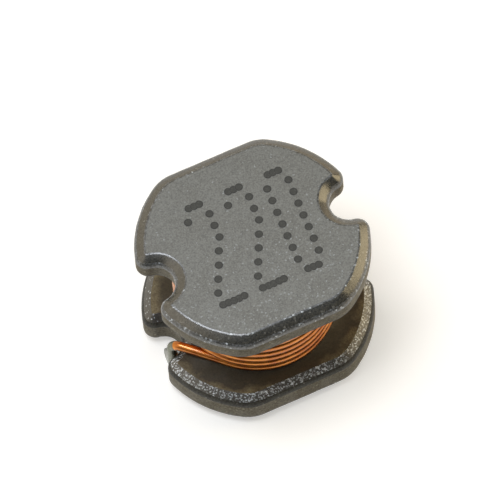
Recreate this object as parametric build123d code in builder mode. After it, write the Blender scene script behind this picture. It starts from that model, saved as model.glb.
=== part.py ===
"""Surface-mount power inductor: copper wire wound on a ferrite drum core.

Lengths are in millimetres and angles in degrees. The origin is the centre of the
underside, X runs along the core from notch to notch, and Z points up from the board.
"""

import os
from math import acos, atan2, cos, degrees, hypot, radians, sin, sqrt

from build123d import *

os.makedirs("parts", exist_ok=True)

# Outline that both flanges of the drum core share
end_diameter = 5.8  # of the circle that the rounded ends lie on
flat_depth = 0.30  # from that circle in to each flat side
corner_radius = 1.0  # between a rounded end and a flat side
notch_radius = 0.48
notch_inset = 0.30  # from the rounded end in to the notch's centre
lip_land_radius = 0.04  # left of each lip's rounding inside the bevel

# Heights of the drum core
bottom_flange_thickness = 1.05
groove_height = 2.29  # clear height between the flanges
top_flange_thickness = 0.90
groove_depth = 1.30  # from the rounded ends in to the post

# Edges of the flanges: pressed bevels outside, ground ones towards the groove
bevel_width = 0.27
bevel_height = 0.17
groove_bevel_width = 0.25
groove_bevel_height = 0.20
edge_round = 0.03  # round the flat top

# Enamelled wire, wound in an inner and an outer layer
wire_diameter = 0.24
wire_sides = 10  # of the section that stands for a round one
turn_gap = 0.004
winding_clearance = 0.01  # to the post and to both flanges
varnish_film = 0.006  # round the inner layer, outside its wire
turn_relief = 0.06  # depth of the open grooves between the outer turns

# Where the outer turns climb over the start lead, in degrees about the post from its merge
climb_before_merge = 45.0
climb_after_merge = 5.0
top_turn_angle = 200.0  # swept by the topmost turn, which is cut short

# Leads: where they drop through the notches, and how the start lead joins the inner layer
lead_wall_gap = 0.06  # from the wire to the notch's wall
lead_bearing = 64.0  # degrees about the notch's centre, from the post round to the front
lead_bend_radius = 0.26
lead_end_height = 0.12  # above the board
merge_turn = 29.0  # degrees about the post, from the lead round to the merge
merge_length = 0.45  # of the straight before the merge
merge_bend_radius = 0.50

# Terminals under the bottom flange
terminal_thickness = 0.06
terminal_length = 1.75  # inwards from the middle of the pad's rounded end
terminal_margin = 0.03  # from the edge of the flat underside

# Solder that joins each lead to its terminal
solder_height = 0.70
solder_foot_radius = 0.55
solder_collar = 0.05  # left round the wire at the top
solder_setback = 0.42  # inside the rounded end

# Levels and places that follow from the sizes above
end_radius = end_diameter / 2
core_width = end_diameter - 2 * flat_depth
post_radius = end_radius - groove_depth
notch_x = end_radius - notch_inset
lip_radius = max(bevel_width, groove_bevel_width) + lip_land_radius
groove_floor = terminal_thickness + bottom_flange_thickness
groove_ceiling = groove_floor + groove_height

wire_radius = wire_diameter / 2
turn_pitch = wire_diameter + turn_gap
inner_layer_radius = post_radius + winding_clearance + varnish_film + wire_radius
outer_layer_radius = inner_layer_radius + wire_diameter * sqrt(3) / 2
lowest_turn_z = groove_floor + winding_clearance + varnish_film + wire_radius
highest_turn_z = groove_ceiling - winding_clearance - varnish_film - wire_radius
climbs = int((highest_turn_z - lowest_turn_z) / turn_pitch)

lead_offset = notch_radius - lead_wall_gap - wire_radius
lead_x = notch_x - lead_offset * cos(radians(lead_bearing))
lead_y = -lead_offset * sin(radians(lead_bearing))

# Angles about the post, counterclockwise from X
start_lead_angle = degrees(atan2(lead_y, lead_x)) % 360
finish_lead_angle = degrees(atan2(lead_y, -lead_x)) % 360
merge_angle = start_lead_angle - merge_turn
climb_start_angle = merge_angle - climb_before_merge
climb_end_angle = merge_angle + climb_after_merge
leave_angle = finish_lead_angle + degrees(acos(outer_layer_radius / hypot(lead_x, lead_y)))


def around_post(radius, angle, z=0):
    """The point at an angle on a level circle about the post's axis."""
    return Vector(radius * cos(radians(angle)), radius * sin(radians(angle)), z)


# Outline of the flanges, with its corners and the lips of its notches rounded
with BuildSketch() as outline:
    Circle(end_radius)
    Rectangle(end_diameter, core_width, mode=Mode.INTERSECT)
    by_side = outline.vertices().group_by(Axis.Y)
    fillet(by_side[0] + by_side[-1], corner_radius)
    with Locations((-notch_x, 0), (notch_x, 0)):
        Circle(notch_radius, mode=Mode.SUBTRACT)
    lips = outline.vertices().filter_by(lambda v: abs(v.X) > notch_x and abs(v.Y) < notch_radius)
    fillet(lips, lip_radius)

# Drum core: two flanges and the post between them, pressed and fired as one piece
with BuildPart() as drum_core:
    with BuildSketch(Plane.XY.offset(terminal_thickness)):
        add(outline.sketch)
    extrude(amount=bottom_flange_thickness)
    with BuildSketch(Plane.XY.offset(groove_floor)):
        Circle(post_radius)
    extrude(amount=groove_height)
    with BuildSketch(Plane.XY.offset(groove_ceiling)):
        add(outline.sketch)
    extrude(amount=top_flange_thickness)

    underside, floor, ceiling, top = drum_core.faces().filter_by(Axis.Z).sort_by(Axis.Z)
    for face in (underside, top):
        chamfer(face.outer_wire().edges(), bevel_width, bevel_height, reference=face)
    for face in (floor, ceiling):
        chamfer(face.outer_wire().edges(), groove_bevel_width, groove_bevel_height, reference=face)
    fillet(drum_core.faces().sort_by(Axis.Z)[-1].edges(), edge_round)
drum_core.part.label = "drum_core"
export_step(drum_core.part, "parts/drum_core.step")

# Start lead: up through the right notch and in along the flange to the inner layer
merge_point = around_post(inner_layer_radius, merge_angle, lowest_turn_z)
with BuildLine() as start_lead:
    FilletPolyline(
        (lead_x, lead_y, lead_end_height),
        (lead_x, lead_y, lowest_turn_z),
        merge_point + around_post(merge_length, merge_angle + 90),
        merge_point,
        radius=(lead_bend_radius, merge_bend_radius),
    )

# Finish lead: up through the left notch, straight on to the outer layer and round to the climb
with BuildLine() as finish_lead:
    FilletPolyline(
        (-lead_x, lead_y, lead_end_height),
        (-lead_x, lead_y, lowest_turn_z),
        around_post(outer_layer_radius, leave_angle, lowest_turn_z),
        radius=lead_bend_radius,
    )
    CenterArc(
        (0, 0, lowest_turn_z), outer_layer_radius, leave_angle, climb_start_angle - leave_angle
    )

# Outer turns: each climbs by one pitch over the start lead and then lies level
climb_angle = climb_end_angle - climb_start_angle
climb = Edge.make_helix(turn_pitch * 360 / climb_angle, turn_pitch, outer_layer_radius)
with BuildLine() as outer_turns:
    for turn in range(climbs):
        turn_z = lowest_turn_z + turn * turn_pitch
        add(climb.rotate(Axis.Z, climb_start_angle).moved(Pos(0, 0, turn_z)))
        level_angle = 360 - climb_angle if turn < climbs - 1 else top_turn_angle
        CenterArc((0, 0, turn_z + turn_pitch), outer_layer_radius, climb_end_angle, level_angle)


def wire_section(path):
    """The wire's section, square to the start of its path."""
    with BuildSketch(path ^ 0) as section:
        RegularPolygon(wire_radius, wire_sides)
    return section.sketch


# Winding: its inner layer is one plain band, which the outer turns hide
with BuildPart() as winding:
    band_top = groove_ceiling - winding_clearance
    inner_band_height = groove_height - 2 * winding_clearance
    inner_band_width = wire_diameter + 2 * varnish_film
    outer_band_height = inner_band_height - turn_pitch
    outer_band_width = outer_layer_radius + wire_radius - turn_relief - post_radius - winding_clearance
    with BuildSketch(Plane.YZ):
        with Locations((post_radius + winding_clearance, band_top)):
            Rectangle(inner_band_width, inner_band_height, align=(Align.MIN, Align.MAX))
            Rectangle(outer_band_width, outer_band_height, align=(Align.MIN, Align.MAX))
    revolve(axis=Axis.Z)
    sweep(wire_section(outer_turns.line), path=outer_turns.line, is_frenet=True)
    for lead in (finish_lead.line, start_lead.line):
        sweep(wire_section(lead), path=lead)
winding.part.label = "winding"
export_step(winding.part, "parts/winding.step")

# Terminals and their solder, on the right and then on the left
terminal_inset = bevel_width + terminal_margin
terminal_end_radius = end_radius - terminal_inset
collar = (wire_radius + solder_collar, solder_height)
for name, side in (("right", 1), ("left", -1)):
    # Terminal: a flat plated pad on the underside, round the notch
    with BuildPart() as terminal:
        with BuildSketch(Plane((0, 0, 0), x_dir=(side, 0, 0), z_dir=(0, 0, 1))) as pad:
            Circle(terminal_end_radius)
            Rectangle(end_diameter, core_width - 2 * terminal_inset, mode=Mode.INTERSECT)
            fillet(pad.vertices().filter_by(lambda v: v.X > 0), corner_radius - terminal_inset)
            with Locations((terminal_end_radius - terminal_length, 0)):
                Rectangle(end_diameter, core_width, align=(Align.MIN, Align.CENTER), mode=Mode.INTERSECT)
            with Locations((notch_x, 0)):
                Circle(notch_radius + terminal_inset, mode=Mode.SUBTRACT)
        extrude(amount=terminal_thickness)
    terminal.part.label = f"{name}_terminal"
    export_step(terminal.part, f"parts/{name}_terminal.step")

    # Solder: climbs the lead and flows out to the pad, held in by the walls of the notch
    with BuildPart() as solder:
        with BuildSketch(Plane((side * lead_x, lead_y, 0), x_dir=(1, 0, 0), z_dir=(0, -1, 0))):
            with BuildLine():
                Polyline((solder_foot_radius, 0), (0, 0), (0, solder_height), collar)
                TangentArc(collar, (solder_foot_radius, 0), tangent=(0, -1))
            make_face()
        revolve(axis=Axis((side * lead_x, lead_y, 0), (0, 0, 1)))
        with BuildSketch():
            Circle(end_radius - solder_setback)
        extrude(amount=solder_height, mode=Mode.INTERSECT)
        for neighbour in (drum_core.part, terminal.part, winding.part):
            add(neighbour, mode=Mode.SUBTRACT)
    solder.part.label = f"{name}_solder"
    export_step(solder.part, f"parts/{name}_solder.step")
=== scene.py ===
"""Surface-mount power inductor: ferrite drum core, enamelled winding, tinned pads and ink marking.

All lengths are in metres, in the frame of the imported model: X runs along the core from notch to
notch, Z points up, and the origin is the centre of the underside.
"""

from math import acos, asin, atan2, cos, degrees, hypot, pi, radians, sin, sqrt

import bmesh
import bpy
from mathutils import Matrix, Vector, noise


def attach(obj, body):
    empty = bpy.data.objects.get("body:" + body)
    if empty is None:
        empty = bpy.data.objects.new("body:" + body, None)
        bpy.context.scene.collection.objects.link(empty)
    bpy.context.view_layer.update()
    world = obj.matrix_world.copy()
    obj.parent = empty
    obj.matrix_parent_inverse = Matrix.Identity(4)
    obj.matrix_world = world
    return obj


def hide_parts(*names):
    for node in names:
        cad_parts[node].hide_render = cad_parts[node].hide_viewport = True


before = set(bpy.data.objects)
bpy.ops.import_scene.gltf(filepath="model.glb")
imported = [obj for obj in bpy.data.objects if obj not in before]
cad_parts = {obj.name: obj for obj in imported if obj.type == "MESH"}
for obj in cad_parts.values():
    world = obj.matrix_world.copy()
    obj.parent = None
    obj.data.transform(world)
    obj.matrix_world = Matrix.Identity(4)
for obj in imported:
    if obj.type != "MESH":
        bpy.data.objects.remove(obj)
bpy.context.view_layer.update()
MM = 0.001
NOISE_SEED = 1  # unseeded, Blender's noise starts from the clock, and each run would differ
noise.seed_set(NOISE_SEED)

# Outline that both flanges of the drum core share
END_RADIUS = 2.90 * MM
HALF_WIDTH = 2.60 * MM
CORNER_RADIUS = 1.00 * MM
NOTCH_X = 2.60 * MM
NOTCH_RADIUS = 0.48 * MM
LIP_RADIUS = 0.31 * MM

# Heights and edges of the drum core
UNDERSIDE_Z = 0.06 * MM
GROOVE_FLOOR_Z = 1.11 * MM
GROOVE_CEILING_Z = 3.40 * MM
TOP_Z = 4.30 * MM
POST_RADIUS = 1.60 * MM
BEVEL_WIDTH = 0.27 * MM
BEVEL_HEIGHT = 0.17 * MM
GROOVE_BEVEL_WIDTH = 0.25 * MM
GROOVE_BEVEL_HEIGHT = 0.20 * MM
FACE_ROUND = 0.03 * MM  # where a bevel meets a flat face
WALL_ROUND = 0.09 * MM  # where a bevel meets the side wall
EDGE_UNEVENNESS = 0.006 * MM  # how far a worn edge wanders
EDGE_WAVE = 0.22 * MM  # length over which it does
EDGE_SEGMENTS = 4

# Edges drawn along each part of the outline, and round the post and the inner layer
CORNER_STEPS = 12
END_STEPS = 22
LIP_STEPS = 18
NOTCH_STEPS = 28
FLAT_STEPS = 10
ROUND_STEPS = 96
WELD = 0.0005 * MM  # closer vertices are one

# Winding
WIRE_RADIUS = 0.12 * MM
WIRE_SIDES = 16
WINDING_CLEARANCE = 0.01 * MM  # to the post and to the upper flange
TURN_PITCH = 0.244 * MM
INNER_LAYER_RADIUS = 1.736 * MM
OUTER_LAYER_RADIUS = 1.9438 * MM
LOWEST_TURN_Z = 1.246 * MM
CLIMBS = 8
LEAD_OFFSET = 0.30 * MM  # from the notch's centre
LEAD_BEARING = 64.0  # degrees about the notch's centre, from the post round to the front
LEAD_X = NOTCH_X - LEAD_OFFSET * cos(radians(LEAD_BEARING))
LEAD_Y = -LEAD_OFFSET * sin(radians(LEAD_BEARING))
LEAD_END_Z = 0.12 * MM
LEAD_BEND = 0.26 * MM
MERGE_LENGTH = 0.45 * MM
MERGE_BEND = 0.50 * MM

# Angles round the post in degrees: places are counterclockwise from X
MERGE_TURN = 29.0  # from the start lead to where it joins the inner layer
CLIMB_BEFORE_MERGE = 45.0
CLIMB_AFTER_MERGE = 5.0
START_LEAD_ANGLE = degrees(atan2(LEAD_Y, LEAD_X)) % 360
MERGE_ANGLE = START_LEAD_ANGLE - MERGE_TURN
CLIMB_START = MERGE_ANGLE - CLIMB_BEFORE_MERGE
CLIMB_END = MERGE_ANGLE + CLIMB_AFTER_MERGE
INNER_TURN_ANGLE = 345.0  # of the inner layer's lowest turn, level
INNER_CLIMB_ANGLE = 20.0  # over which that turn then rises behind the outer ones
TOP_TURN_ANGLE = 200.0
TUCK_ANGLE = 30.0  # over which the topmost turn comes out from the inner layer
TUCK_DEPTH = 0.15 * MM
END_TURNS = 2  # of the inner layer, drawn as wire at the top

# Photograph: the viewing angle, and where the middle of the core lies in its frame
PHOTO_SIZE = 500
AZIMUTH = -19.957
ELEVATION = 62.880
ROLL = -5.313
DISTANCE = 176.895 * MM
FOCAL_PIXELS = 7167.0
MIDDLE_PIXEL = (255.66, 279.09)
SENSOR_WIDTH = 36
NEAREST_SEEN = 0.001
FARTHEST_SEEN = 10


def linear(code):
    """A hex colour as linear red, green, blue and alpha."""
    channels = [int(code[i:i + 2], 16) / 255 for i in (1, 3, 5)]
    return [c / 12.92 if c <= 0.04045 else ((c + 0.055) / 1.055) ** 2.4 for c in channels] + [1.0]


def add_node(tree, kind, inputs=None, **settings):
    """A new node with its settings, and its inputs given as values or as sockets to link."""
    node = tree.nodes.new(kind)
    for name, value in settings.items():
        setattr(node, name, value)
    for name, value in (inputs or {}).items():
        if isinstance(value, bpy.types.NodeSocket):
            tree.links.new(value, node.inputs[name])
        else:
            node.inputs[name].default_value = value
    return node


def new_material(name):
    """A material with its node tree, its Principled shader, and Object coordinates in millimetres."""
    material = bpy.data.materials.new(name)
    material.use_nodes = True
    tree = material.node_tree
    shader = tree.nodes["Principled BSDF"]
    place = add_node(tree, "ShaderNodeTexCoord").outputs["Object"]
    in_mm = add_node(
        tree, "ShaderNodeVectorMath", {0: place, "Scale": 1 / MM}, operation="SCALE"
    ).outputs["Vector"]
    return material, tree, shader, in_mm


def remap(tree, value, low, high, to_low=0.0, to_high=1.0):
    """A value carried from one range to another, and clamped."""
    node = add_node(
        tree,
        "ShaderNodeMapRange",
        {"Value": value, "From Min": low, "From Max": high, "To Min": to_low, "To Max": to_high},
    )
    return node.outputs["Result"]


def blend(tree, factor, first, second):
    """A mix of two colours, given as values or sockets."""
    node = add_node(tree, "ShaderNodeMix", {0: factor, 6: first, 7: second}, data_type="RGBA")
    return node.outputs[2]


def fired_ferrite(name, tones, roughness, ior, patch_mm, grain_mm, glint_share, bump_mm):
    """Sintered nickel-zinc ferrite, a dark ceramic: cloudy patches, sugary grain, pits and painted
    glints.

    The tones are its body, its lighter patches, its pits and its glints. The glints are painted
    highlights:
    bright specks in the base colour that stand in for sparkle, and thin out towards the back, where
    less light fell on them. Its real grain of 5 to 10 microns is too fine to show, so it is drawn as
    coarse as grain_mm. A porous skin scatters its gloss, which a lower IOR stands for.
    """
    body, patch, pit, glint = (linear(code) for code in tones)
    material, tree, shader, in_mm = new_material(name)
    clouds = add_node(
        tree, "ShaderNodeTexNoise", {"Vector": in_mm, "Scale": 1 / patch_mm, "Detail": 3.0}
    ).outputs[0]
    sugar = add_node(
        tree, "ShaderNodeTexNoise", {"Vector": in_mm, "Scale": 1 / grain_mm, "Detail": 2.0}
    ).outputs[0]
    glint_cells = add_node(
        tree, "ShaderNodeTexVoronoi", {"Vector": in_mm, "Scale": 1 / grain_mm}
    ).outputs["Color"]
    pick = add_node(tree, "ShaderNodeSeparateColor", {"Color": glint_cells}).outputs["Red"]
    # Painted highlights: some cells take the bright glint tone, more of them towards the front (-Y)
    forward = add_node(tree, "ShaderNodeSeparateXYZ", {0: in_mm}).outputs["Y"]
    glint_threshold = remap(tree, forward, 0.6, -1.2, 1 - 0.15 * glint_share, 1 - glint_share)
    painted_glint = remap(tree, pick, glint_threshold, 1.0)
    tone = blend(tree, remap(tree, clouds, 0.40, 0.62, 0.0, 0.35), body, patch)
    tone = blend(tree, remap(tree, sugar, 0.50, 0.30), tone, pit)
    tone = blend(tree, remap(tree, sugar, 0.50, 0.70), tone, patch)
    tree.links.new(blend(tree, painted_glint, tone, glint), shader.inputs["Base Color"])
    gloss = remap(tree, clouds, 0.35, 0.65, 1.12 * roughness, 0.88 * roughness)
    tree.links.new(gloss, shader.inputs["Roughness"])
    shader.inputs["IOR"].default_value = ior
    bump = add_node(
        tree, "ShaderNodeBump", {"Height": sugar, "Strength": 1.0, "Distance": bump_mm * MM}
    )
    tree.links.new(bump.outputs[0], shader.inputs["Normal"])
    return material


GROOVE_SHADE_PATCH_MM = 0.6
GROOVE_SHADE_REACH_MM = (2.35, 2.80)  # least and greatest distance from the post's axis that the painted shade reaches


def paint_groove_shade(material):
    """Painted shade round the winding, under the upper flange: it darkens the groove's ferrite near the
    post to a dark brown, out to a wandering edge.
    """
    tree = material.node_tree
    shader = tree.nodes["Principled BSDF"]
    unshaded = shader.inputs["Base Color"].links[0].from_socket
    place = add_node(tree, "ShaderNodeTexCoord").outputs["Object"]
    level = add_node(
        tree, "ShaderNodeVectorMath", {0: place, 1: (1 / MM, 1 / MM, 0)}, operation="MULTIPLY"
    ).outputs["Vector"]
    reach = add_node(
        tree, "ShaderNodeVectorMath", {0: level}, operation="LENGTH"
    ).outputs["Value"]
    shade_wander = add_node(
        tree, "ShaderNodeTexNoise", {"Vector": level, "Scale": 1 / GROOVE_SHADE_PATCH_MM, "Detail": 3.0}
    ).outputs[0]
    edge = remap(tree, shade_wander, 0.3, 0.7, *GROOVE_SHADE_REACH_MM)
    gap = add_node(tree, "ShaderNodeMath", {0: edge, 1: reach}, operation="SUBTRACT").outputs[0]
    # Painted shade: a dark brown blended in, strongest near the post
    shaded = blend(tree, remap(tree, gap, -0.10, 0.15, 0.0, 0.8), unshaded, linear("#271f13"))
    tree.links.new(shaded, shader.inputs["Base Color"])


# Top: ground flat for the marking, an even satin grey with faint painted glints
LAPPED_TOP = fired_ferrite(
    "ferrite_lapped_top",
    ("#5d5e59", "#70726d", "#484944", "#888d8e"),
    roughness=0.52,
    ior=1.9,
    patch_mm=0.60,
    grain_mm=0.036,
    glint_share=0.08,
    bump_mm=0.001,
)
# Outer bevels and underside: dense and dark from the press, with a soft gloss
PRESSED_BEVEL = fired_ferrite(
    "ferrite_pressed_bevel",
    ("#36352f", "#4a4840", "#24231f", "#6d6c66"),
    roughness=0.25,
    ior=2.1,
    patch_mm=0.22,
    grain_mm=0.045,
    glint_share=0.06,
    bump_mm=0.002,
)
# Side walls: a rough brown-grey skin, almost without gloss
PRESSED_WALL = fired_ferrite(
    "ferrite_pressed_wall",
    ("#645e4b", "#777160", "#4a4434", "#8f8a77"),
    roughness=0.60,
    ior=1.45,
    patch_mm=0.30,
    grain_mm=0.045,
    glint_share=0.05,
    bump_mm=0.003,
)
# Bevels towards the groove: near black and ground to broken crystals, whose sparkle is painted as dense
# glints
GROUND_BEVEL = fired_ferrite(
    "ferrite_ground_bevel",
    ("#2f2d26", "#47453e", "#181612", "#e3ebf2"),
    roughness=0.34,
    ior=2.1,
    patch_mm=0.20,
    grain_mm=0.032,
    glint_share=0.40,
    bump_mm=0.010,
)
# Post and groove faces: matt olive ferrite
GROOVE_FACE = fired_ferrite(
    "ferrite_groove",
    ("#70674b", "#7d7458", "#574e39", "#8c8464"),
    roughness=0.55,
    ior=1.5,
    patch_mm=0.35,
    grain_mm=0.045,
    glint_share=0.05,
    bump_mm=0.003,
)
# Outer edges: rubbed smoother, and painted lighter so that they draw a thin highlight line
PAINTED_HIGHLIGHT_EDGE = fired_ferrite(
    "ferrite_painted_highlight_edge",
    ("#454542", "#717476", "#2b2a27", "#c6ced3"),
    roughness=0.30,
    ior=1.9,
    patch_mm=0.12,
    grain_mm=0.045,
    glint_share=0.12,
    bump_mm=0.004,
)
# Edges between the walls and the ground bevels: rough, and painted dark as a line of shade
GROUND_EDGE = fired_ferrite(
    "ferrite_ground_edge",
    ("#33322c", "#45443d", "#211f1b", "#6d6c66"),
    roughness=0.50,
    ior=1.45,
    patch_mm=0.20,
    grain_mm=0.045,
    glint_share=0.04,
    bump_mm=0.003,
)
# Painted shade in the groove, darkest near the winding under the upper flange
paint_groove_shade(GROOVE_FACE)
FERRITES = (LAPPED_TOP, PRESSED_BEVEL, PRESSED_WALL, GROUND_BEVEL, GROUND_EDGE, GROOVE_FACE, PAINTED_HIGHLIGHT_EDGE)


STREAK_MM = 0.35


def enamelled_copper():
    """Drawn copper wire under a thin amber enamel, which gives a clear gloss over a warm metal."""
    material, tree, shader, in_mm = new_material("enamelled_copper_wire")
    streaks = add_node(
        tree, "ShaderNodeTexNoise", {"Vector": in_mm, "Scale": 1 / STREAK_MM, "Detail": 3.0}
    ).outputs[0]
    tone = blend(tree, remap(tree, streaks, 0.35, 0.65), linear("#b5611a"), linear("#dc8a30"))
    tree.links.new(tone, shader.inputs["Base Color"])
    shader.inputs["Metallic"].default_value = 1.0
    shader.inputs["Roughness"].default_value = 0.34
    shader.inputs["Coat Weight"].default_value = 1.0
    shader.inputs["Coat Roughness"].default_value = 0.14
    return material


def matt_tin(name, base, shade, roughness, grain_mm, bump_mm):
    """Tin as plating or as solder: a soft silver metal with a faint orange peel."""
    material, tree, shader, in_mm = new_material(name)
    peel = add_node(
        tree, "ShaderNodeTexNoise", {"Vector": in_mm, "Scale": 1 / grain_mm, "Detail": 2.0}
    ).outputs[0]
    tree.links.new(
        blend(tree, remap(tree, peel, 0.35, 0.65), linear(base), linear(shade)),
        shader.inputs["Base Color"],
    )
    shader.inputs["Metallic"].default_value = 1.0
    shader.inputs["Roughness"].default_value = roughness
    bump = add_node(
        tree, "ShaderNodeBump", {"Height": peel, "Strength": 1.0, "Distance": bump_mm * MM}
    )
    tree.links.new(bump.outputs[0], shader.inputs["Normal"])
    return material


INK_PORE_MM = 0.04


def marking_ink():
    """Dark pigment ink, dried from drops: dense at the rim of each dot and thinner in its middle."""
    material, tree, shader, in_mm = new_material("marking_ink")
    rim = add_node(tree, "ShaderNodeAttribute", attribute_name="rim").outputs["Fac"]
    porous = add_node(
        tree, "ShaderNodeTexNoise", {"Vector": in_mm, "Scale": 1 / INK_PORE_MM, "Detail": 2.0}
    ).outputs[0]
    tone = blend(tree, remap(tree, rim, 0.0, 0.6), linear("#383936"), linear("#292928"))
    tone = blend(tree, remap(tree, porous, 0.5, 0.72, 0.0, 0.4), tone, linear("#565753"))
    tone = blend(tree, remap(tree, rim, 0.75, 1.0, 0.0, 0.7), tone, linear("#5d5f5b"))
    tree.links.new(tone, shader.inputs["Base Color"])
    shader.inputs["Roughness"].default_value = 0.6
    return material


def finish_piece(name, bm, materials, slot, *nodes):
    """Turns a bmesh into a piece that rides on the body, with its finish and the nodes it replaces."""
    mesh = bpy.data.meshes.new(name)
    bm.to_mesh(mesh)
    bm.free()
    for material in materials:
        mesh.materials.append(material)
    piece = bpy.data.objects.new(name, mesh)
    bpy.context.scene.collection.objects.link(piece)
    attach(piece, "root")
    if nodes:
        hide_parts(*nodes)
    return piece


def grow(bm, vert, step):
    """Draws one straight edge on from a vertex, and returns its far end."""
    far = bmesh.ops.extrude_vert_indiv(bm, verts=[vert])["verts"][0]
    far.co += step
    return far


def trace_outline(bm, inset, z):
    """The flange's outline as one closed ring of edges at a height, moved in from its edge by inset."""
    end_radius = END_RADIUS - inset
    half_width = HALF_WIDTH - inset
    corner_radius = CORNER_RADIUS - inset
    corner_y = half_width - corner_radius
    corner_x = sqrt((end_radius - corner_radius) ** 2 - corner_y ** 2)
    corner_angle = atan2(corner_y, corner_x)
    to_lip = end_radius - (LIP_RADIUS - inset)
    notch_to_lip = NOTCH_RADIUS + LIP_RADIUS
    lip_angle = acos((to_lip ** 2 + NOTCH_X ** 2 - notch_to_lip ** 2) / (2 * to_lip * NOTCH_X))
    lip = Vector((to_lip * cos(lip_angle), to_lip * sin(lip_angle), z))
    notch_angle = atan2(lip.y, lip.x - NOTCH_X)

    # Centre, angle turned and number of edges of each bend on the way to the notch
    to_notch = (
        (Vector((corner_x, corner_y, z)), corner_angle - pi / 2, CORNER_STEPS),
        (Vector((0, 0, z)), lip_angle - corner_angle, END_STEPS),
        (lip, notch_angle - pi - lip_angle, LIP_STEPS),
    )
    round_notch = (Vector((NOTCH_X, 0, z)), 2 * (pi - notch_angle), NOTCH_STEPS)
    from_notch = [(Vector((c.x, -c.y, z)), angle, steps) for c, angle, steps in reversed(to_notch)]

    drawn = set(bm.verts)
    tip = bmesh.ops.create_vert(bm, co=(0, half_width, z))["vert"][0]
    flat_step = Vector((corner_x / FLAT_STEPS, 0, 0))
    for _ in range(FLAT_STEPS):
        tip = grow(bm, tip, flat_step)
    for centre, angle, steps in (*to_notch, round_notch, *from_notch):
        turned = bmesh.ops.spin(
            bm, geom=[tip], cent=centre, axis=(0, 0, 1), angle=angle, steps=steps, use_duplicate=False
        )
        tip = [g for g in turned["geom_last"] if isinstance(g, bmesh.types.BMVert)][0]
    for _ in range(FLAT_STEPS):
        tip = grow(bm, tip, -flat_step)
    half = [v for v in bm.verts if v not in drawn]
    half_edges = list({e for v in half for e in v.link_edges})
    bmesh.ops.spin(
        bm,
        geom=half + half_edges,
        cent=(0, 0, 0),
        axis=(0, 0, 1),
        angle=pi,
        steps=1,
        use_duplicate=True,
    )
    ring = [v for v in bm.verts if v not in drawn]
    bmesh.ops.remove_doubles(bm, verts=ring, dist=WELD)
    ring = [v for v in bm.verts if v not in drawn]
    return list({e for v in ring for e in v.link_edges})


def bevel_ring(bm, ring, radius, finish):
    """Rounds one ring of edges, and gives what it makes a finish."""
    bmesh.ops.bevel(
        bm,
        geom=[e for e in ring if e.is_valid],
        offset=radius,
        offset_type="OFFSET",
        segments=EDGE_SEGMENTS,
        profile=0.5,
        affect="EDGES",
        clamp_overlap=True,
        material=FERRITES.index(finish),
    )


def paint(faces, material):
    """Gives faces one of the core's finishes."""
    for face in faces:
        face.material_index = FERRITES.index(material)


def flange(bm, outer_z, groove_z, post_ring, outer_finish):
    """A flange from its outer face to its groove face, which is joined to the post's ring.

    It returns the rings of edges that are still to be rounded, each with its radius and finish.
    """
    into = 1 if groove_z > outer_z else -1
    outer = trace_outline(bm, BEVEL_WIDTH, outer_z)
    wall_outer = trace_outline(bm, 0.0, outer_z + into * BEVEL_HEIGHT)
    wall_groove = trace_outline(bm, 0.0, groove_z - into * GROOVE_BEVEL_HEIGHT)
    groove = trace_outline(bm, GROOVE_BEVEL_WIDTH, groove_z)
    paint(bmesh.ops.bridge_loops(bm, edges=outer + wall_outer)["faces"], PRESSED_BEVEL)
    paint(bmesh.ops.bridge_loops(bm, edges=wall_outer + wall_groove)["faces"], PRESSED_WALL)
    paint(bmesh.ops.bridge_loops(bm, edges=wall_groove + groove)["faces"], GROUND_BEVEL)
    paint(bmesh.ops.contextual_create(bm, geom=outer)["faces"], outer_finish)
    filled = bmesh.ops.triangle_fill(bm, use_beauty=True, edges=groove + post_ring)["geom"]
    paint([g for g in filled if isinstance(g, bmesh.types.BMFace)], GROOVE_FACE)
    return (
        (outer, FACE_ROUND, PAINTED_HIGHLIGHT_EDGE),
        (wall_outer, WALL_ROUND, PAINTED_HIGHLIGHT_EDGE),
        (wall_groove, WALL_ROUND, GROUND_EDGE),
        (groove, FACE_ROUND, GROUND_BEVEL),
    )


def ferrite_core():
    """The drum core in one closed mesh: two flanges and the post between them."""
    bm = bmesh.new()
    post_rings = []
    for z in (GROOVE_FLOOR_Z, GROOVE_CEILING_Z):
        circle = bmesh.ops.create_circle(
            bm, segments=ROUND_STEPS, radius=POST_RADIUS, matrix=Matrix.Translation((0, 0, z))
        )["verts"]
        post_rings.append(list({e for v in circle for e in v.link_edges}))
    paint(bmesh.ops.bridge_loops(bm, edges=post_rings[0] + post_rings[1])["faces"], GROOVE_FACE)
    rings = flange(bm, UNDERSIDE_Z, GROOVE_FLOOR_Z, post_rings[0], PRESSED_BEVEL)
    rings += flange(bm, TOP_Z, GROOVE_CEILING_Z, post_rings[1], LAPPED_TOP)
    for ring, radius, finish in rings:
        bevel_ring(bm, ring, radius, finish)
    bmesh.ops.recalc_face_normals(bm, faces=bm.faces)
    for vert in bm.verts:
        if any(f.material_index == FERRITES.index(PAINTED_HIGHLIGHT_EDGE) for f in vert.link_faces):
            vert.co += EDGE_UNEVENNESS * noise.noise_vector(vert.co / EDGE_WAVE)
    for face in bm.faces:
        face.smooth = True
    piece = finish_piece("ferrite_drum_core", bm, FERRITES, "ferrite", "drum_core")
    piece.modifiers.new("even_flats", "WEIGHTED_NORMAL").keep_sharp = True


ferrite_core()


# Winding
def radial(degrees_round):
    """The level direction out from the post's axis at an angle."""
    return Vector((cos(radians(degrees_round)), sin(radians(degrees_round)), 0))


def tangent(degrees_round):
    """The level direction of travel, clockwise about the post, at an angle."""
    return Vector((sin(radians(degrees_round)), -cos(radians(degrees_round)), 0))


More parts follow.
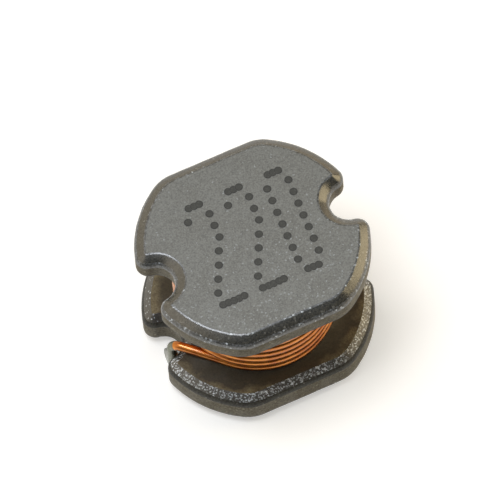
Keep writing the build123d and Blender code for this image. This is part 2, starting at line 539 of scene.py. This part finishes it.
class WireTube:
    """A round wire drawn from its start by straights, bends and turns about the post."""

    def __init__(self, bm, start, heading):
        self.bm = bm
        self.tip = start.copy()
        self.heading = heading.normalized()
        self.tinned = False
        square_to = self.heading.to_track_quat("Z", "Y").to_matrix().to_4x4()
        verts = bmesh.ops.create_circle(
            bm,
            cap_ends=True,
            segments=WIRE_SIDES,
            radius=WIRE_RADIUS,
            matrix=Matrix.Translation(start) @ square_to,
        )["verts"]
        self.ring = list({e for v in verts for e in v.link_edges})

    def ring_verts(self):
        """The vertices of the wire's open end."""
        return list({v for e in self.ring for v in e.verts})

    def straight(self, length):
        """Goes straight on."""
        made = bmesh.ops.extrude_edge_only(self.bm, edges=self.ring)["geom"]
        self.ring = [g for g in made if isinstance(g, bmesh.types.BMEdge)]
        self.ring = [e for e in self.ring if len(e.link_faces) == 1]
        self.tin()
        step = self.heading * length
        bmesh.ops.translate(self.bm, verts=self.ring_verts(), vec=step)
        self.tip += step

    def bend(self, heading, radius, tinned_steps=0, steps=8):
        """Turns towards a new heading on an arc, and tins its last steps."""
        heading = heading.normalized()
        axis = self.heading.cross(heading).normalized()
        centre = self.tip + axis.cross(self.heading) * radius
        angle = self.heading.angle(heading)
        for step in range(steps):
            self.spin(centre, axis, angle / steps, 1)
            self.tinned = self.tinned or steps - step <= tinned_steps
            self.tin()
        self.tip = centre + Matrix.Rotation(angle, 3, axis) @ (self.tip - centre)
        self.heading = heading

    def spin(self, centre, axis, angle, steps, rise=(0, 0, 0)):
        """Carries the open end round an axis."""
        made = bmesh.ops.spin(
            self.bm, geom=self.ring, cent=centre, axis=axis, dvec=rise, angle=angle, steps=steps
        )["geom_last"]
        self.ring = [g for g in made if isinstance(g, bmesh.types.BMEdge)]

    def tin(self):
        """Gives the newest stretch the tin of a dipped end, or the enamel."""
        for edge in self.ring:
            for face in edge.link_faces:
                face.material_index = int(self.tinned)

    def turn(self, sweep, rise=0.0, spread=0.0, step_angle=5.0):
        """Goes clockwise about the post, and eases up or down and in or out on the way."""
        steps = max(1, round(sweep / step_angle))
        share_before = 0.0
        for step in range(1, steps + 1):
            self.spin((0, 0, 0), (0, 0, 1), -radians(sweep) / steps, 1)
            share = 0.5 - 0.5 * cos(pi * step / steps)
            middle = Vector()
            for vert in self.ring_verts():
                middle += vert.co / WIRE_SIDES
            out = Vector((middle.x, middle.y, 0)).normalized()
            move = (share - share_before) * (spread * out + Vector((0, 0, rise)))
            bmesh.ops.translate(self.bm, verts=self.ring_verts(), vec=move)
            share_before = share

    def close(self):
        """Caps the open end."""
        bmesh.ops.contextual_create(self.bm, geom=self.ring)


def spin_full(bm, section):
    """Carries a closed section of edges once round the post."""
    bmesh.ops.spin(
        bm,
        geom=section,
        cent=(0, 0, 0),
        axis=(0, 0, 1),
        angle=2 * pi,
        steps=ROUND_STEPS,
        use_merge=True,
    )


def inner_layer(bm):
    """The inner layer as a plain band, with its last turns as wire under the upper flange."""
    band_low = LOWEST_TURN_Z + WIRE_RADIUS
    band_high = GROOVE_CEILING_Z - WINDING_CLEARANCE - END_TURNS * TURN_PITCH
    for level in range(END_TURNS):
        turn_z = band_high + (level + 0.5) * TURN_PITCH
        upright = Matrix.Translation((INNER_LAYER_RADIUS, 0, turn_z)) @ Matrix.Rotation(pi / 2, 4, "X")
        verts = bmesh.ops.create_circle(
            bm, segments=WIRE_SIDES, radius=WIRE_RADIUS, matrix=upright
        )["verts"]
        section = list({e for v in verts for e in v.link_edges})
        spin_full(bm, section)
    corners = [
        (POST_RADIUS + WINDING_CLEARANCE, 0, band_low),
        (INNER_LAYER_RADIUS + WIRE_RADIUS, 0, band_low),
        (INNER_LAYER_RADIUS + WIRE_RADIUS, 0, band_high),
        (POST_RADIUS + WINDING_CLEARANCE, 0, band_high),
    ]
    profile = [bmesh.ops.create_vert(bm, co=corner)["vert"][0] for corner in corners]
    spin_full(bm, [bm.edges.new((profile[i], profile[(i + 1) % 4])) for i in range(4)])


def inner_lead(bm):
    """The start lead, from the right notch in to the inner layer, and that layer's lowest turn."""
    merge = INNER_LAYER_RADIUS * radial(MERGE_ANGLE) + Vector((0, 0, LOWEST_TURN_Z))
    corner = merge - MERGE_LENGTH * tangent(MERGE_ANGLE)
    foot = Vector((LEAD_X, LEAD_Y, LEAD_END_Z))
    across = Vector((corner.x - LEAD_X, corner.y - LEAD_Y, 0))
    swing = across.angle(tangent(MERGE_ANGLE))
    bend_length = MERGE_BEND * sin(swing / 2) / cos(swing / 2)
    wire = WireTube(bm, foot, Vector((0, 0, 1)))
    wire.tinned = True
    wire.straight(LOWEST_TURN_Z - LEAD_BEND - LEAD_END_Z)
    wire.tinned = False
    wire.bend(across, LEAD_BEND)
    wire.straight(across.length - LEAD_BEND - bend_length)
    wire.bend(tangent(MERGE_ANGLE), MERGE_BEND)
    wire.straight(MERGE_LENGTH - bend_length)
    wire.turn(INNER_TURN_ANGLE)
    wire.turn(INNER_CLIMB_ANGLE, rise=TURN_PITCH)
    wire.close()


def outer_layer(bm):
    """The outer turns from the top down, and the finish lead, down through the left notch."""
    top_z = LOWEST_TURN_Z + CLIMBS * TURN_PITCH
    top_start = CLIMB_END + TOP_TURN_ANGLE + TUCK_ANGLE
    tucked_radius = OUTER_LAYER_RADIUS - TUCK_DEPTH
    wire = WireTube(
        bm, tucked_radius * radial(top_start) + Vector((0, 0, top_z)), tangent(top_start)
    )
    wire.turn(TUCK_ANGLE, spread=OUTER_LAYER_RADIUS - tucked_radius)
    level_angle = 360 - (CLIMB_END - CLIMB_START)
    wire.turn(TOP_TURN_ANGLE)
    for layer in range(CLIMBS):
        wire.turn(CLIMB_END - CLIMB_START, rise=-TURN_PITCH)
        if layer < CLIMBS - 1:
            wire.turn(level_angle)
    lead_reach = hypot(LEAD_X, LEAD_Y)
    lead_angle = degrees(atan2(LEAD_Y, -LEAD_X)) % 360
    leave_angle = lead_angle + degrees(acos(OUTER_LAYER_RADIUS / lead_reach))
    wire.turn(CLIMB_START - leave_angle)
    wire.tip = OUTER_LAYER_RADIUS * radial(leave_angle) + Vector((0, 0, LOWEST_TURN_Z))
    wire.heading = tangent(leave_angle)
    wire.straight(sqrt(lead_reach ** 2 - OUTER_LAYER_RADIUS ** 2) - LEAD_BEND)
    wire.bend(Vector((0, 0, -1)), LEAD_BEND, tinned_steps=5)
    wire.straight(LOWEST_TURN_Z - LEAD_BEND - LEAD_END_Z)
    wire.close()


def copper_winding():
    """The whole winding: both layers, their leads, and the tin that the leads' ends were dipped in."""
    bm = bmesh.new()
    inner_layer(bm)
    inner_lead(bm)
    outer_layer(bm)
    bmesh.ops.recalc_face_normals(bm, faces=bm.faces)
    for face in bm.faces:
        face.smooth = True
    tin = matt_tin("dipped_tin", "#8f9182", "#74766a", roughness=0.42, grain_mm=0.08, bump_mm=0.004)
    finish_piece("copper_winding", bm, (enamelled_copper(), tin), "enamelled_copper", "winding")


copper_winding()


# Terminals and solder
TINNED_PAD = matt_tin(
    "matt_tin_plating", "#b9bab4", "#a3a49d", roughness=0.38, grain_mm=0.10, bump_mm=0.004
)
SOLDER = matt_tin(
    "bright_solder", "#b3b4ae", "#94958e", roughness=0.26, grain_mm=0.16, bump_mm=0.006
)
SOLDER_HEIGHT = 0.68 * MM
SOLDER_FOOT = 0.54 * MM
SOLDER_COLLAR = 0.135 * MM  # round the lead, where the solder runs out up the wire
SOLDER_FLATNESS = 0.20  # of its outer half, away from the post


def solder_fillet(side, sign):
    """Solder round a lead: a hollow-sided fillet, flatter on its outer side.

    Its foot runs on into the notch's wall and over the edge of the pad.
    """
    bm = bmesh.new()
    spread = SOLDER_FOOT - SOLDER_COLLAR
    hollow = (spread ** 2 + SOLDER_HEIGHT ** 2) / (2 * spread)
    tip = bmesh.ops.create_vert(bm, co=(0, 0, SOLDER_HEIGHT))["vert"][0]
    tip = grow(bm, tip, Vector((SOLDER_COLLAR, 0, 0)))
    turned = bmesh.ops.spin(
        bm,
        geom=[tip],
        cent=(SOLDER_COLLAR + hollow, 0, SOLDER_HEIGHT),
        axis=(0, 1, 0),
        angle=-asin(SOLDER_HEIGHT / hollow),
        steps=12,
    )
    tip = [g for g in turned["geom_last"] if isinstance(g, bmesh.types.BMVert)][0]
    grow(bm, tip, Vector((-tip.co.x, 0, 0)))
    bmesh.ops.spin(
        bm, geom=bm.edges[:], cent=(0, 0, 0), axis=(0, 0, 1), angle=2 * pi, steps=48, use_merge=True
    )
    bmesh.ops.remove_doubles(bm, verts=bm.verts, dist=WELD)
    outer_half = [v for v in bm.verts if v.co.x > 0]
    bmesh.ops.scale(bm, verts=outer_half, vec=(SOLDER_FLATNESS, 1, 1))
    bmesh.ops.scale(bm, verts=bm.verts, vec=(sign, 1, 1))
    bmesh.ops.translate(bm, verts=bm.verts, vec=(sign * LEAD_X, LEAD_Y, 0))
    bmesh.ops.recalc_face_normals(bm, faces=bm.faces)
    for face in bm.faces:
        face.smooth = abs(face.normal.z) < 0.99
    finish_piece(f"{side}_solder_fillet", bm, (SOLDER,), "solder", f"{side}_solder")


for side, sign in (("right", 1), ("left", -1)):
    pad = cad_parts[f"{side}_terminal"]
    pad.data.materials.clear()
    pad.data.materials.append(TINNED_PAD)
    solder_fillet(side, sign)


# Marking: plain digits in ink dots
DIGITS = {
    "2": (" ### ", "#   #", "    #", "    #", "   # ", "  #  ", " #   ", "#    ", "#####"),
    "0": (" ### ", "#   #", "#   #", "#   #", "#   #", "#   #", "#   #", "#   #", " ### "),
}
MARKING = "220"
DOT_RADIUS = 0.105 * MM
DOT_RIM_SHARE = 0.35
DOT_SIDES = 20
DOT_ACROSS = 0.142 * MM
DOT_DOWN = 0.347 * MM
DOT_LEAN = -0.024 * MM  # sideways from one row to the next
DIGIT_PITCH = 1.066 * MM
MARK_START = Vector((-1.188 * MM, 1.443 * MM, TOP_Z))
INK_THICKNESS = 0.003 * MM
DOT_SCATTER = 0.012 * MM
DOT_LEVELS = 7
DOT_LEVEL_STEP = 0.0002 * MM


def ink_dot(bm, rim, centre):
    """One thin round dot of ink, with its rim marked for the finish."""
    dot = bmesh.ops.create_circle(
        bm,
        cap_ends=True,
        segments=DOT_SIDES,
        radius=DOT_RADIUS,
        matrix=Matrix.Translation(centre),
    )["verts"]
    for vert in dot:
        vert[rim] = 1.0
    face = dot[0].link_faces[0]
    raised = bmesh.ops.extrude_face_region(bm, geom=[face], use_keep_orig=True)["geom"]
    top_verts = [g for g in raised if isinstance(g, bmesh.types.BMVert)]
    top_face = [g for g in raised if isinstance(g, bmesh.types.BMFace)]
    bmesh.ops.translate(bm, verts=top_verts, vec=(0, 0, INK_THICKNESS))
    bmesh.ops.inset_region(bm, faces=top_face, thickness=DOT_RIM_SHARE * DOT_RADIUS)
    for vert in {v for f in top_face for v in f.verts}:
        vert[rim] = 0.0


def ink_marking():
    """The marking: dots of ink, each on its own level so that none share a face."""
    bm = bmesh.new()
    rim = bm.verts.layers.float.new("rim")
    marked = [
        (place, row, column)
        for place, digit in enumerate(MARKING)
        for row, line in enumerate(DIGITS[digit])
        for column, mark in enumerate(line)
        if mark == "#"
    ]
    for count, (place, row, column) in enumerate(marked):
        across = place * DIGIT_PITCH + column * DOT_ACROSS + row * DOT_LEAN
        centre = MARK_START + Vector((across, -row * DOT_DOWN, DOT_LEVEL_STEP * (count % DOT_LEVELS)))
        scatter = DOT_SCATTER * noise.noise_vector(Vector((count, row, 0.5)))
        ink_dot(bm, rim, centre + scatter * Vector((1, 1, 0)))
    bmesh.ops.recalc_face_normals(bm, faces=bm.faces)
    finish_piece("ink_marking", bm, (marking_ink(),), "ferrite")


ink_marking()


# Studio
def camera_axes():
    """The photograph's right, up and back directions."""
    azimuth, elevation, roll = radians(AZIMUTH), radians(ELEVATION), radians(ROLL)
    back = Vector((sin(azimuth) * cos(elevation), -cos(azimuth) * cos(elevation), sin(elevation)))
    level = Vector((cos(azimuth), sin(azimuth), 0))
    up = back.cross(level)
    return cos(roll) * level + sin(roll) * up, cos(roll) * up - sin(roll) * level, back


def photo_camera():
    """A long lens at the photograph's angle, aimed so that the core lies where it does there."""
    right, up, back = camera_axes()
    middle = Vector((0, 0, TOP_Z / 2))
    place = middle + DISTANCE * back
    aside = (MIDDLE_PIXEL[0] - PHOTO_SIZE / 2) / FOCAL_PIXELS
    below = (MIDDLE_PIXEL[1] - PHOTO_SIZE / 2) / FOCAL_PIXELS
    back = (back + aside * right - below * up).normalized()
    up = (up - up.dot(back) * back).normalized()
    right = up.cross(back)
    data = bpy.data.cameras.new("photo_camera")
    data.sensor_width = SENSOR_WIDTH
    data.lens = FOCAL_PIXELS / PHOTO_SIZE * data.sensor_width
    data.clip_start = NEAREST_SEEN
    data.clip_end = FARTHEST_SEEN
    camera = bpy.data.objects.new("photo_camera", data)
    axes = Matrix((right, up, back)).transposed().to_4x4()
    camera.matrix_world = Matrix.Translation(place) @ axes
    bpy.context.scene.collection.objects.link(camera)
    bpy.context.scene.camera = camera


def soft_light(name, toward, distance, size, watts, colour):
    """A square soft box in a direction from the core, facing it."""
    data = bpy.data.lights.new(name, "AREA")
    data.size = size
    data.energy = watts
    data.color = linear(colour)[:3]
    lamp = bpy.data.objects.new(name, data)
    middle = Vector((0, 0, TOP_Z / 2))
    direction = Vector(toward).normalized()
    turned = direction.to_track_quat("Z", "Y").to_matrix().to_4x4()
    lamp.matrix_world = Matrix.Translation(middle + distance * direction) @ turned
    bpy.context.scene.collection.objects.link(lamp)


def white_to_the_eye(tree, lit, glow):
    """Adds white light to a surface only where the camera, a gloss or glass looks at it."""
    path = add_node(tree, "ShaderNodeLightPath")
    seen = add_node(
        tree,
        "ShaderNodeMath",
        {0: path.outputs["Is Camera Ray"], 1: path.outputs["Is Glossy Ray"]},
        operation="MAXIMUM",
    ).outputs[0]
    seen = add_node(
        tree, "ShaderNodeMath", {0: seen, 1: path.outputs["Is Transmission Ray"]}, operation="MAXIMUM"
    ).outputs[0]
    strength = add_node(tree, "ShaderNodeMath", {0: seen, 1: glow}, operation="MULTIPLY").outputs[0]
    white = add_node(
        tree, "ShaderNodeEmission", {"Color": (1, 1, 1, 1), "Strength": strength}
    ).outputs[0]
    return add_node(tree, "ShaderNodeAddShader", {0: lit, 1: white}).outputs[0]


PAPER_REACH = 0.6
PAPER_GLOW = 0.42


def paper_floor():
    """A wide sheet of white paper, clear from below, that keeps the object's shadow."""
    material = bpy.data.materials.new("white_paper")
    material.use_nodes = True
    tree = material.node_tree
    tree.nodes.clear()
    paper = add_node(
        tree, "ShaderNodeBsdfDiffuse", {"Color": linear("#e4e3df"), "Roughness": 0.0}
    ).outputs[0]
    shown = white_to_the_eye(tree, paper, PAPER_GLOW)
    clear = add_node(tree, "ShaderNodeBsdfTransparent").outputs[0]
    below = add_node(tree, "ShaderNodeNewGeometry").outputs["Backfacing"]
    either = add_node(tree, "ShaderNodeMixShader", {0: below, 1: shown, 2: clear}).outputs[0]
    add_node(tree, "ShaderNodeOutputMaterial", {"Surface": either})
    bm = bmesh.new()
    bmesh.ops.create_grid(bm, x_segments=1, y_segments=1, size=PAPER_REACH)
    mesh = bpy.data.meshes.new("paper_floor")
    bm.to_mesh(mesh)
    bm.free()
    mesh.materials.append(material)
    floor = bpy.data.objects.new("paper_floor", mesh)
    bpy.context.scene.collection.objects.link(floor)


def studio_world():
    """A light tent, white to the camera: cool overhead, warm on the left and behind, open in front."""
    world = bpy.data.worlds.new("studio")
    world.use_nodes = True
    tree = world.node_tree
    tree.nodes.clear()
    path = add_node(tree, "ShaderNodeLightPath").outputs["Is Camera Ray"]
    toward = add_node(tree, "ShaderNodeTexCoord").outputs["Generated"]
    axis = add_node(tree, "ShaderNodeSeparateXYZ", {0: toward})
    leftward = remap(tree, axis.outputs["X"], 0.10, -0.50)
    tent = blend(tree, leftward, linear("#4b4843"), linear("#fff3de"))
    tent = blend(tree, remap(tree, axis.outputs["Y"], 0.20, 0.75), tent, linear("#e9dcc4"))
    tent = blend(tree, remap(tree, axis.outputs["Y"], -0.10, -0.45), tent, linear("#34363a"))
    low = remap(tree, axis.outputs["Z"], 0.34, 0.14)
    rightward = remap(tree, axis.outputs["X"], 0.1, 0.7)
    low = add_node(tree, "ShaderNodeMath", {0: low, 1: rightward}, operation="MULTIPLY").outputs[0]
    tent = blend(tree, low, tent, linear("#ffe6bd"))
    tent = blend(tree, remap(tree, axis.outputs["Z"], 0.70, 0.92), tent, linear("#8c949c"))
    around = add_node(tree, "ShaderNodeBackground", {"Color": tent, "Strength": 1.0}).outputs[0]
    white = add_node(
        tree, "ShaderNodeBackground", {"Color": (1, 1, 1, 1), "Strength": 1.0}
    ).outputs[0]
    either = add_node(tree, "ShaderNodeMixShader", {0: path, 1: around, 2: white}).outputs[0]
    add_node(tree, "ShaderNodeOutputWorld", {"Surface": either})
    bpy.context.scene.world = world


photo_camera()
studio_world()
paper_floor()
soft_light(
    "overhead_box", (-0.20, 0.05, 0.97), distance=0.06, size=0.027, watts=0.021, colour="#f4f8ff"
)
soft_light(
    "warm_side_box", (0.87, -0.12, 0.45), distance=0.05, size=0.031, watts=0.0075, colour="#ffeabd"
)
bpy.context.scene.view_settings.view_transform = "Standard"
